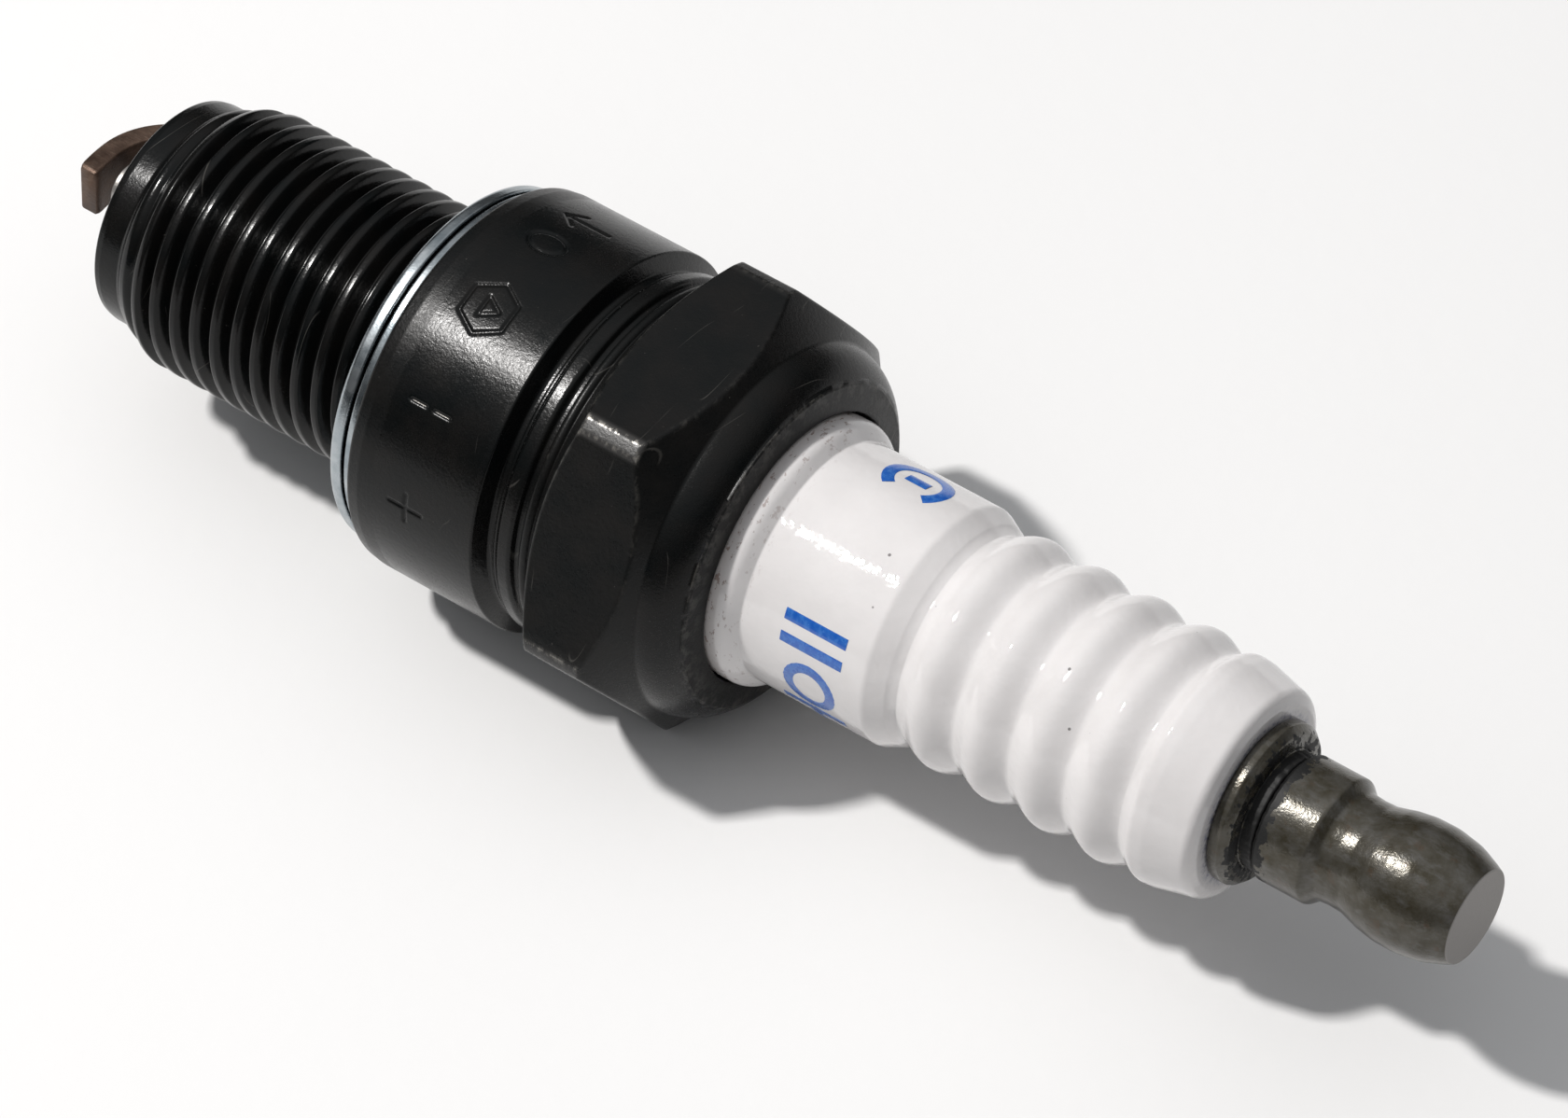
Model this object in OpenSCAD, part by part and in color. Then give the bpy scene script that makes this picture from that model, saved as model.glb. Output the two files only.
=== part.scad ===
// Spark plug, 14 mm thread with long reach and a flat gasket seat.
// The plug lies along X with the terminal towards +X and one flat of the hexagon facing down.
// The origin is the centre of the gasket's sealing face, and all lengths are in millimetres.

/* [Thread] */
// Outside diameter of the thread over its crests
thread_d = 13.86; // [13.7:0.02:13.96]
// Distance from one thread crest to the next
thread_pitch = 1.25; // [1.2:0.05:1.3]
// Length from the shell's seat to the end of its nose
reach = 19; // [18:0.1:20]
// Diameter of the plain nose in front of the thread
nose_d = 11.9; // [11.6:0.1:12.1]
// Length of the plain nose
nose_length = 1.6; // [1.4:0.1:2]
// Diameter of the plain neck between the thread and the seat
neck_d = 11.9; // [11.6:0.1:12.1]

/* [Gasket] */
// Outside diameter of the folded gasket
gasket_d = 18.8; // [18:0.1:19.4]
// Inside diameter of the gasket, smaller than the thread so that it cannot fall off
gasket_bore_d = 13.2; // [12.9:0.1:13.4]
// Thickness of the gasket before it is tightened
gasket_thickness = 1.5; // [1.4:0.1:1.8]
// How far the loose gasket can move along the neck
gasket_float = 0.7; // [0.4:0.1:0.9]

/* [Seat collar] */
// Diameter of the round collar above the gasket
collar_d = 20; // [19.6:0.1:20.4]
// Length of the collar
collar_length = 7.6; // [7:0.1:8]
// Diameter at the bottom of the groove between the collar and the hexagon
groove_d = 18.2; // [17.8:0.1:18.6]

/* [Hexagon] */
// Width across the flats
hex_flats = 20.7; // [20.5:0.1:20.8]
// Width across the rounded corners
hex_corners = 23.5; // [23.1:0.1:23.8]
// Distance from the seat to the middle of the hexagon
hex_centre = 13.65; // [13.5:0.05:13.8]
// Length of the corner edges between their two chamfers
hex_edge_length = 3.3; // [2.8:0.1:3.6]

/* [Crimped rim] */
// Outside diameter of the flat lip that holds the insulator
lip_d = 17; // [16.6:0.1:17.4]
// Inside diameter of the lip
lip_bore_d = 14.1; // [14:0.05:14.3]
// Distance from the seat to the end of the lip
lip_end = 19.2; // [19:0.1:19.4]

/* [Insulator] */
// Diameter of the insulator where it leaves the shell
foot_d = 13.9; // [13.7:0.1:13.9]
// Diameter of the smooth barrel
barrel_d = 12.4; // [12:0.1:12.8]
// Diameter over the ribs
rib_d = 11.94; // [11.6:0.02:12.2]
// Distance between two ribs
rib_pitch = 3.1; // [3:0.05:3.2]
// Depth of the valleys between the ribs
rib_depth = 0.55; // [0.4:0.05:0.7]
// Number of ribs between the barrel and the top land
rib_count = 4; // [3:1:4]
// Distance from the seat to the top face of the insulator
insulator_top = 45.15; // [45:0.05:45.5]

/* [Terminal] */
// Diameter of the terminal nut at its cylinder
terminal_d = 6.35; // [6.2:0.05:6.5]
// Diameter of the neck that the cap's spring snaps into
terminal_neck_d = 5.34; // [5.2:0.02:5.5]
// Length of the terminal nut
nut_length = 10.1; // [9.8:0.1:10.4]
// Diameter of the stud's flange on top of the insulator
flange_d = 8.2; // [7.8:0.1:8.6]
// Outside diameter of the stud's M4 thread
stud_d = 3.9; // [3.8:0.05:4]

/* [Electrodes] */
// Width of the ground strap
strap_width = 2.75; // [2.4:0.05:3]
// Thickness of the ground strap
strap_thickness = 1.1; // [1:0.05:1.3]
// Direction that the strap's tip points to around the axis, from +Z towards -Y
strap_turn = 81; // [-180:1:180]
// Air gap between the two electrodes
spark_gap = 0.8; // [0.6:0.05:1.1]
// Diameter of the centre electrode
electrode_d = 2.5; // [2.3:0.05:2.6]

/* [Hidden] */
$fn = 96;
slack = 0.03;
seat_x = gasket_thickness;
nose_x = seat_x - reach;

thread_r = thread_d / 2;
root_r = thread_r - 0.6134 * thread_pitch;
neck_r = neck_d / 2;
nose_r = nose_d / 2;
thread_end = -gasket_float - 0.15 * thread_pitch;
thread_start = nose_x + nose_length;
thread_turns = floor((thread_end - thread_start) / thread_pitch + 0.1);
crest_flat = thread_pitch / 8;
root_flat = thread_pitch / 4;
flank = (thread_pitch - crest_flat - root_flat) / 2;

collar_r = collar_d / 2;
collar_x = seat_x + collar_length;
groove_r = groove_d / 2;
hex_r = hex_corners / 2;
hex_x0 = seat_x + hex_centre - hex_edge_length / 2;
hex_x1 = seat_x + hex_centre + hex_edge_length / 2;
lip_r = lip_d / 2;
lip_bore_r = lip_bore_d / 2;
lip_x = seat_x + lip_end;
rim_x = lip_x - 2;

// The bore of the shell steps down from the crimp room to the ledge that carries the insulator.
room_r = 8.1;
room_x = seat_x + 2.6;
sleeve_r = 5.05;
ledge_x = -5.5;
ledge_r = 4.1;
nose_bore_r = 4.2;

foot_r = foot_d / 2;
foot_taper = 0.06;
barrel_r = barrel_d / 2;
rib_r = rib_d / 2;
top_x = seat_x + insulator_top;
barrel_end = seat_x + 27.5;
first_valley = barrel_end + 1.4;
land_x = first_valley + rib_count * rib_pitch;
shoulder_r = room_r - 0.1;
shoulder_x = room_x + 8;
core_bore_r = 2;
tip_x = nose_x - 1.5;

flange_r = flange_d / 2;
flange_length = 1.05;
boss_r = 2.95;
nut_x = top_x + 1.8;
nut_end = nut_x + nut_length;
terminal_r = terminal_d / 2;
terminal_neck_r = terminal_neck_d / 2;
nut_bore_r = stud_d / 2 + 0.08;
nut_bore_depth = 6.4;
stud_thread_length = 5.9;
stud_foot_x = 4;

electrode_r = electrode_d / 2;
strap_inner_x = -21.2;
strap_bend_r = 3.1;
strap_bend_z = -0.49;
strap_tip_z = 1.5;
strap_droop = 0.25;
strap_lean = 22;
electrode_x = strap_inner_x + spark_gap;

// Turns an outline of [radius, x] points around the X axis.
module lathe() {
    rotate([0, 90, 0])
        rotate_extrude()
            children();
}

module ring_outline(inner, outer, x0, x1) {
    polygon([[inner, x0], [outer, x0], [outer, x1], [inner, x1]]);
}

// The first crests are cut back to a lead-in cone.
function lead(r, x) = min(r, root_r + 0.15 + max(0, x - thread_start) * 0.3);

function thread_points() = [
    for (i = [0 : thread_turns - 1])
        let (x = thread_end - (thread_turns - i) * thread_pitch)
            each [
                [root_r, x + root_flat / 2],
                [lead(thread_r, x + thread_pitch / 2), x + root_flat / 2 + flank],
                [lead(thread_r, x + thread_pitch / 2), x + root_flat / 2 + flank + crest_flat],
                [root_r, x + thread_pitch - root_flat / 2]
            ]
];

module shell_blank() {
    lathe()
        polygon(concat(
            [
                [0, nose_x],
                [nose_r - 0.3, nose_x],
                [nose_r, nose_x + 0.3],
                [nose_r, nose_x + nose_length - 0.15]
            ],
            thread_points(),
            [
                [neck_r, thread_end + 0.2],
                [neck_r, seat_x],
                [collar_r - 0.3, seat_x],
                [collar_r, seat_x + 0.4],
                [collar_r, collar_x],
                [collar_r - 0.15, collar_x + 0.1],
                [groove_r, collar_x + 0.4],
                [groove_r, collar_x + 0.8],
                [groove_r + 0.2, collar_x + 1.1],
                [groove_r + 0.2, collar_x + 1.5],
                [groove_r, collar_x + 1.8],
                [groove_r, hex_x0],
                [0, hex_x0]
            ]
        ));
}

module hexagon() {
    intersection() {
        rotate([0, 90, 0])
            rotate([0, 0, 30])
                cylinder(h = 60, r = hex_flats / 2 / cos(30), $fn = 6, center = true);
        lathe()
            polygon([
                [0, hex_x0 - 1.8],
                [groove_r, hex_x0 - 1.8],
                [groove_r + 0.25, hex_x0 - 1.4],
                [hex_r, hex_x0],
                [hex_r, hex_x1],
                [hex_flats / 2 - 0.65, hex_x1 + 1.8],
                [0, hex_x1 + 1.8]
            ]);
    }
}

// The rim was a straight wall before it was rolled over the insulator's shoulder.
module rim() {
    lathe()
        difference() {
            union() {
                ring_outline(0, 9.6, hex_x1, rim_x + 0.1);
                translate([lip_r - 0.75, rim_x])
                    circle(r = 1.88);
                ring_outline(0, lip_r - 0.2, rim_x, lip_x - 0.3);
            }
            ring_outline(0, 30, lip_x, lip_x + 9);
        }
}

module shell_bore() {
    lathe()
        polygon([
            [0, nose_x - 1],
            [nose_bore_r, nose_x - 1],
            [nose_bore_r, ledge_x - 1],
            [ledge_r, ledge_x - 0.6],
            [ledge_r, ledge_x],
            [sleeve_r, ledge_x + 0.9],
            [sleeve_r, room_x - 0.8],
            [room_r, room_x + 0.8],
            [room_r, rim_x - 0.6],
            [lip_bore_r, rim_x + 0.9],
            [lip_bore_r, lip_x + 1],
            [0, lip_x + 1]
        ]);
}

module shell() {
    color([0.05, 0.05, 0.055])
        difference() {
            union() {
                shell_blank();
                hexagon();
                rim();
            }
            shell_bore();
        }
}

// A strip of sheet folded back on itself, so that two rims show with a gap between them.
module gasket() {
    outer = gasket_d / 2;
    inner = gasket_bore_d / 2;
    sheet = gasket_thickness * 0.3;
    color([0.72, 0.75, 0.8])
        lathe()
            difference() {
                union() {
                    ring_outline(inner + 0.55, outer - sheet / 2, 0, gasket_thickness);
                    ring_outline(inner, inner + 0.6, sheet * 0.7, gasket_thickness - sheet * 0.7);
                    translate([outer - sheet / 2, sheet / 2])
                        circle(d = sheet);
                    translate([outer - sheet / 2, gasket_thickness - sheet / 2])
                        circle(d = sheet);
                }
                ring_outline(outer - 1.4, outer + 1, sheet, gasket_thickness - sheet);
            }
}

// A point on the bend, from 0 at the flat end towards the foot.
function bend_point(r, angle) = [
    strap_inner_x + strap_bend_r - r * cos(angle),
    strap_bend_z - r * sin(angle)
];

// The point where the straight leg that starts at the bend meets the nose's end face.
function foot_point(r) =
    let (start = bend_point(r, 90 - strap_lean), end_x = nose_x - slack)
        [end_x, start[1] - (end_x - start[0]) * tan(strap_lean)];

// The strap stands on the nose's end face, leans inwards and bends across the centre electrode.
module strap_outline() {
    outer_r = strap_bend_r + strap_thickness;
    outer_x = strap_inner_x - strap_thickness;
    angles = [0 : 4 : 90 - strap_lean];
    polygon(concat(
        [[strap_inner_x, strap_tip_z - 0.25], [outer_x + strap_droop, strap_tip_z]],
        [for (a = angles) bend_point(outer_r, a)],
        [foot_point(outer_r), foot_point(strap_bend_r)],
        [for (a = angles) bend_point(strap_bend_r, 90 - strap_lean - a)]
    ));
}

module ground_electrode() {
    color([0.3, 0.22, 0.17])
        rotate([strap_turn, 0, 0])
            rotate([90, 0, 0])
                linear_extrude(height = strap_width, center = true)
                    strap_outline();
}

module insulator_blank() {
    union() {
        polygon([
            [0, tip_x],
            [2.3, tip_x],
            [2.55, tip_x + 0.3],
            [3.3, ledge_x - 2],
            [ledge_r - 0.25, ledge_x - 1],
            [ledge_r - 0.25, ledge_x + 0.4],
            [sleeve_r - 0.1, ledge_x + 1.6],
            [sleeve_r - 0.1, room_x - 0.3],
            [shoulder_r, room_x + 1.4],
            [shoulder_r, shoulder_x],
            [foot_r, shoulder_x + 1.1],
            [foot_r - foot_taper, lip_x + 0.6],
            [foot_r - 0.25, lip_x + 1],
            [barrel_r + 0.12, lip_x + 1.4],
            [barrel_r, lip_x + 2],
            [barrel_r, barrel_end - 0.3],
            [barrel_r - 0.15, barrel_end + 0.2],
            [rib_r - rib_depth, first_valley],
            [rib_r - rib_depth, land_x],
            [rib_r - 0.15, land_x + 0.9],
            [rib_r - 0.05, land_x + 1.3],
            [rib_r - 0.4, top_x - 0.8],
            [rib_r - 1, top_x],
            [0, top_x]
        ]);
        for (i = [0 : rib_count - 1])
            translate([rib_r - 1.1, first_valley + (i + 0.5) * rib_pitch])
                scale([1, 1.2])
                    circle(r = 1.1);
    }
}

module insulator() {
    color([0.93, 0.92, 0.91])
        lathe()
            difference() {
                insulator_blank();
                ring_outline(0, electrode_r + slack, tip_x - 1, ledge_x + 3);
                ring_outline(0, core_bore_r, ledge_x + 3 - slack, top_x + 1);
            }
}

module centre_electrode() {
    head_x = ledge_x + 3;
    color([0.6, 0.58, 0.55])
        lathe()
            difference() {
                union() {
                    ring_outline(0, electrode_r, electrode_x, head_x);
                    ring_outline(0, core_bore_r - slack, head_x, head_x + 1.2);
                }
                ring_outline(0, electrode_r * 0.5, electrode_x + 2.5, head_x + 2);
            }
}

module copper_core() {
    color([0.72, 0.4, 0.24])
        lathe()
            ring_outline(0, electrode_r * 0.5 - slack, electrode_x + 2.5 + slack, ledge_x + 4.2 - slack);
}

// Conductive glass that was melted around the foot of the stud.
module glass_seal() {
    color([0.25, 0.22, 0.2])
        lathe()
            difference() {
                ring_outline(0, core_bore_r - slack, ledge_x + 4.2 + slack, stud_foot_x + 3);
                ring_outline(0, 1.6, stud_foot_x, stud_foot_x + 4);
            }
}

module terminal_stud() {
    flange_x = top_x + slack;
    turn = 0.7;
    crest = stud_d / 2;
    color([0.3, 0.29, 0.26])
        lathe()
            union() {
                ring_outline(0, 1.6 - slack, stud_foot_x + slack, stud_foot_x + 3.2);
                ring_outline(0, core_bore_r - 0.1, stud_foot_x + 3.1, flange_x + 0.1);
                polygon([
                    [0, flange_x],
                    [flange_r - 0.15, flange_x],
                    [flange_r, flange_x + 0.2],
                    [flange_r, flange_x + flange_length - 0.4],
                    [flange_r - 0.25, flange_x + flange_length],
                    [boss_r, flange_x + flange_length],
                    [boss_r, nut_x - slack],
                    [0, nut_x - slack]
                ]);
                polygon(concat(
                    [[0, nut_x - 0.1], [crest - 0.3, nut_x - 0.1]],
                    [
                        for (i = [0 : 7])
                            each [
                                [crest - 0.3, nut_x + i * turn],
                                [crest, nut_x + (i + 0.42) * turn],
                                [crest, nut_x + (i + 0.58) * turn]
                            ]
                    ],
                    [
                        [crest - 0.3, nut_x + stud_thread_length - 0.05],
                        [crest - 0.6, nut_x + stud_thread_length],
                        [0, nut_x + stud_thread_length]
                    ]
                ));
            }
}

module terminal_nut() {
    bulb_x = nut_end - 2.85;
    bulb_r = terminal_r - 0.02;
    bulb_arc = 5;
    color([0.36, 0.35, 0.31])
        lathe()
            difference() {
                union() {
                    ring_outline(0, terminal_r, nut_x, nut_x + 2.7);
                    polygon([
                        [0, nut_x + 2.6],
                        [terminal_r, nut_x + 2.7],
                        [terminal_neck_r, nut_x + 3.2],
                        [terminal_neck_r, nut_x + 4.7],
                        [bulb_r - 0.35, bulb_x - 1.75],
                        [0, bulb_x]
                    ]);
                    intersection() {
                        translate([bulb_r - bulb_arc, bulb_x])
                            circle(r = bulb_arc);
                        ring_outline(0, bulb_r, bulb_x - 1.75, nut_end - 0.45);
                    }
                    polygon([
                        [0, nut_end - 0.5],
                        [bulb_r - 0.6, nut_end - 0.5],
                        [bulb_r - 0.82, nut_end],
                        [0, nut_end]
                    ]);
                }
                polygon([
                    [0, nut_x - 1],
                    [nut_bore_r + 0.5, nut_x - 1],
                    [nut_bore_r + 0.5, nut_x],
                    [nut_bore_r, nut_x + 0.4],
                    [nut_bore_r, nut_x + nut_bore_depth],
                    [0, nut_x + nut_bore_depth + 0.8]
                ]);
            }
}

module seat_washer() {
    color([0.6, 0.6, 0.58])
        lathe()
            polygon([
                [ledge_r - 0.1, ledge_x + 0.15],
                [ledge_r + 0.25, ledge_x + 0.35],
                [sleeve_r - 0.12, ledge_x + 1.15],
                [sleeve_r - 0.12, ledge_x + 1.45],
                [ledge_r - 0.1, ledge_x + 0.45]
            ]);
}

module packing_ring(x) {
    color([0.5, 0.5, 0.5])
        lathe()
            translate([(foot_r + room_r) / 2, x])
                circle(r = (room_r - foot_r) / 2 - slack);
}

module lower_packing_ring() {
    packing_ring(shoulder_x + 1.65);
}

module upper_packing_ring() {
    packing_ring(rim_x - 0.85);
}

module talc_filling() {
    color([0.85, 0.84, 0.78])
        lathe()
            ring_outline(foot_r + slack, room_r - slack, shoulder_x + 2.3, rim_x - 1.5);
}

shell();
gasket();
ground_electrode();
insulator();
centre_electrode();
copper_core();
glass_seal();
terminal_stud();
terminal_nut();
seat_washer();
lower_packing_ring();
talc_filling();
upper_packing_ring();
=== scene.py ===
import math

import bmesh
import bpy
import numpy as np
from mathutils import Matrix, Vector, noise


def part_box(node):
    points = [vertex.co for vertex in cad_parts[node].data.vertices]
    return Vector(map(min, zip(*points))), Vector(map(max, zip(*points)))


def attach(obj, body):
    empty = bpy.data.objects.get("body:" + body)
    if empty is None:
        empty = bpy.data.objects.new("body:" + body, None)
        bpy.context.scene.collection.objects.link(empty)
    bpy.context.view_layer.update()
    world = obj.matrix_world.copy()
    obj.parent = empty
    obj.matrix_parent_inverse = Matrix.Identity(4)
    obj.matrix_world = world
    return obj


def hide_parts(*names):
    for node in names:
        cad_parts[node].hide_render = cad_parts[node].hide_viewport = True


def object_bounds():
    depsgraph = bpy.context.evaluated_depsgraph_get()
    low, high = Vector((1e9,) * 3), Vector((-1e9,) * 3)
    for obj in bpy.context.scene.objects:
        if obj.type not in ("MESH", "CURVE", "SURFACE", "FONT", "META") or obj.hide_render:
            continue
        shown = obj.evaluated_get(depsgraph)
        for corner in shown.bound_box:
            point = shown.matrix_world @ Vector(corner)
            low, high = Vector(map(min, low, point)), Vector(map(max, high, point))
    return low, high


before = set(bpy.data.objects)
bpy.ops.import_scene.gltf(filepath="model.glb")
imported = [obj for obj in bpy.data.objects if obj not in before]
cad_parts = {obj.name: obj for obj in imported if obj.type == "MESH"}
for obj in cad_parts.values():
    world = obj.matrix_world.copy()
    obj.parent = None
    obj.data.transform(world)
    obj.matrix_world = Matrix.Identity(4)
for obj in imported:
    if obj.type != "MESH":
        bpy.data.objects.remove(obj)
cad_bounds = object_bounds()

# Lengths below are in millimetres and angles in degrees, unless a name says otherwise.
MM = 0.001


def reach(node, axis):
    """The lowest and highest place of a CAD node along an axis, in millimetres."""
    low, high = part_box(node)
    return low[axis] / MM, high[axis] / MM


NOSE_X, LIP_X = reach("shell", 0)
HEX_FLAT_R = reach("shell", 2)[1]
HEX_CORNER_R = reach("shell", 1)[1]
GASKET_X, SEAT_X = reach("gasket", 0)
GASKET_R = reach("gasket", 2)[1]
TIP_X, TOP_X = reach("insulator", 0)
FLANGE_R = reach("terminal_stud", 2)[1]
STUD_FOOT_X, STUD_X = reach("terminal_stud", 0)
NUT_X, NUT_END_X = reach("terminal_nut", 0)
NUT_R = reach("terminal_nut", 2)[1]
ELECTRODE_X, HEAD_X = reach("centre_electrode", 0)
STRAP_X = reach("ground_electrode", 0)[0]

# ---------------------------------------------------------------- outlines


def along(start, end, count):
    """Evenly spaced points on a straight run."""
    return [tuple(s + (e - s) * i / count for s, e in zip(start, end)) for i in range(count + 1)]


# The most of a straight run that one rounding may use, and how far outside an arc its guard is
RUN_SHARE = 0.46
GUARD = 0.06


def rounded(corners, step=9):
    """An outline through (x, radius, rounding) corners. Each rounding is the radius of an arc.
    A guard point just outside each arc keeps the shading of the straight runs flat."""
    points = []
    for i, (x, r, size) in enumerate(corners):
        here = Vector((x, r))
        if size == 0 or i in (0, len(corners) - 1):
            points.append((x, r))
            continue
        back = Vector(corners[i - 1][:2]) - here
        ahead = Vector(corners[i + 1][:2]) - here
        half = back.angle(ahead) / 2
        cut = min(size / math.tan(half), RUN_SHARE * back.length, RUN_SHARE * ahead.length)
        size = cut * math.tan(half)
        back.normalize()
        ahead.normalize()
        centre = here + (back + ahead).normalized() * (size / math.sin(half))
        start = here + back * cut - centre
        sweep = math.pi - 2 * half
        side = 1 if start.cross(here + ahead * cut - centre) > 0 else -1
        pieces = max(2, round(math.degrees(sweep) / step))
        guard = min(0.5 * cut, GUARD)
        points.append(tuple(here + back * (cut + guard)))
        for k in range(pieces + 1):
            points.append(tuple(centre + Matrix.Rotation(side * sweep * k / pieces, 2) @ start))
        points.append(tuple(here + ahead * (cut + guard)))
    return points


def soft_min(a, b, size):
    """The smaller of two values, blended where they are within size of each other."""
    share = np.clip(0.5 + 0.5 * (b - a) / size, 0, 1)
    return b * (1 - share) + a * share - size * share * (1 - share)


def soft_max(a, b, size):
    """The larger of two values, blended in the same way."""
    return -soft_min(-a, -b, size)


def bell(offset, width):
    return np.exp(-(offset / width) ** 2)


def smooth(low, high, value):
    """0 at low, 1 at high, and an even curve between them."""
    share = np.clip((value - low) / (high - low), 0, 1)
    return share * share * (3 - 2 * share)


def rough_line(theta, waves, seed):
    """A closed, repeatable, irregular line around the axis, about -1 to 1."""
    circle = [Vector((math.cos(t) * waves, math.sin(t) * waves, seed)) for t in theta]
    return np.array([noise.noise(p) + 0.5 * noise.noise(p * 2.7) for p in circle])


# ---------------------------------------------------------------- meshes


class Skin:
    """A surface around the X axis, made of rows of points with one point for each column angle."""

    def __init__(self, theta):
        self.theta = np.asarray(theta)
        self.x, self.r, self.shift = [], [], []
        self.facts = {"roughness": [], "wear_and_painted_light": [], "bare_and_highlight": []}

    def rows(self, x, r, roughness=0.4, wear_and_painted_light=0.0, bare_and_highlight=0.0, shift=0):
        """Adds rows. shift is how many rows on the last column's neighbour lies, as in a helix.
        Roughness, wear and turned steel are stored at each point for the material; the wear and
        turned steel values also carry painted highlight and painted shade."""
        size = (len(x), len(self.theta))
        x, r, roughness, wear_and_painted_light, bare_and_highlight = (
            np.broadcast_to(np.asarray(v, float).reshape(-1, 1) if np.ndim(v) == 1 else v, size)
            for v in (x, r, roughness, wear_and_painted_light, bare_and_highlight)
        )
        self.x.extend(x)
        self.r.extend(r)
        self.facts["roughness"].extend(roughness)
        self.facts["wear_and_painted_light"].extend(wear_and_painted_light)
        self.facts["bare_and_highlight"].extend(bare_and_highlight)
        self.shift.extend([shift] * size[0])

    def outline(self, points, roughness=0.4):
        self.rows([p[0] for p in points], [p[1] for p in points], roughness)

    def spread(self, points):
        """The x and the radius of an outline's points, repeated for every column."""
        return [np.array(v).reshape(-1, 1) + 0 * self.theta for v in zip(*points)]

    def build(self, name, closed):
        """Joins the rows with faces. A closed skin also joins its last row to its first.
        The end rows of a helix are flat, so they aren't joined across the last column."""
        count, columns = len(self.x), len(self.theta)
        x, r = np.array(self.x), np.array(self.r)
        place = np.stack([x, r * np.cos(self.theta), r * np.sin(self.theta)], 2) * MM
        last = columns - 1
        faces = []
        for k in range(count if closed else count - 1):
            after = (k + 1) % count
            here, there = k * columns, after * columns
            for j in range(last):
                faces.append((here + j, here + j + 1, there + j + 1, there + j))
            shift = self.shift[k] if self.shift[after] else 0
            low, high = k + shift, after + shift
            if shift and self.shift[min(high, count - 1)] != shift:
                continue
            faces.append((here + last, low * columns, high * columns, there + last))
        mesh = bpy.data.meshes.new(name)
        mesh.from_pydata(place.reshape(-1, 3).tolist(), [], faces)
        for fact, values in self.facts.items():
            layer = mesh.attributes.new(fact, "FLOAT", "POINT")
            layer.data.foreach_set("value", np.array(values, np.float32).ravel())
        return mesh_object(name, mesh)


def add_object(name, data):
    obj = bpy.data.objects.new(name, data)
    bpy.context.scene.collection.objects.link(obj)
    return obj


def mesh_object(name, mesh):
    """An object of a mesh, with coincident points merged, outward faces and smooth shading."""
    work = bmesh.new()
    work.from_mesh(mesh)
    bmesh.ops.remove_doubles(work, verts=work.verts, dist=1e-7)
    bmesh.ops.dissolve_degenerate(work, edges=work.edges, dist=1e-8)
    bmesh.ops.recalc_face_normals(work, faces=work.faces)
    work.to_mesh(mesh)
    work.free()
    mesh.shade_smooth()
    return add_object(name, mesh)


def even_columns(count):
    return np.linspace(0, 2 * math.pi, count, endpoint=False)


def helix_rows(theta, x0, x1, pitch, phases, depth_at, base_at, profile):
    """Rows that follow a right-hand thread from x0 to x1, as x and radius.
    Rows beyond either end are pressed flat against it, where their points merge."""
    turns = math.ceil((x1 - x0) / pitch) + 3
    steps = np.array([t + p for t in range(turns) for p in phases])
    height = profile(np.tile(phases, turns)).reshape(-1, 1)
    x = x0 + (steps.reshape(-1, 1) - 1.5 + theta / (2 * math.pi)) * pitch
    inside = np.clip(x, x0, x1)
    return inside, base_at(inside) + depth_at(inside) * height


# ---------------------------------------------------------------- finishes


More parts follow.
